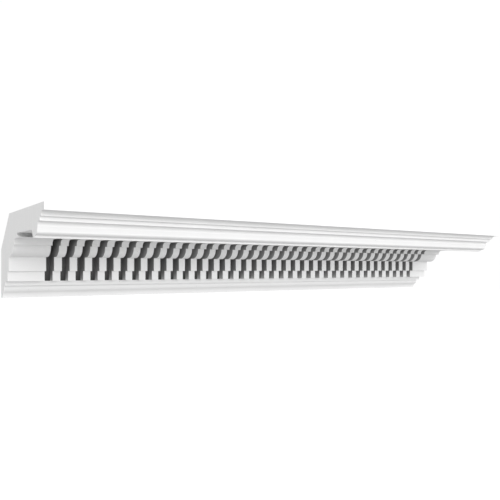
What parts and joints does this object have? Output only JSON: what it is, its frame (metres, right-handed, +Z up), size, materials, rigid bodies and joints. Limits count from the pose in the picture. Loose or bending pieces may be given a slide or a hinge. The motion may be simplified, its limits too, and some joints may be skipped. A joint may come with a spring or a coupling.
{
  "type": "ornamental cornice",
  "caption": "Straight length of cast plaster cornice with a stepped crown, a drip lip over a deep soffit, and a slotted dentil course above the foot.",
  "frame": {"origin": "middle of the wall face, half way along the length", "axes": "+X along the moulding, +Y into the wall, +Z up to the ceiling"},
  "size_m": [1, 0.25, 0.132],
  "materials": {
    "cast_plaster": "matt white cast gypsum plaster"
  },
  "bodies": {
    "root": {"cornice": "cast_plaster"}
  },
  "joints": []
}
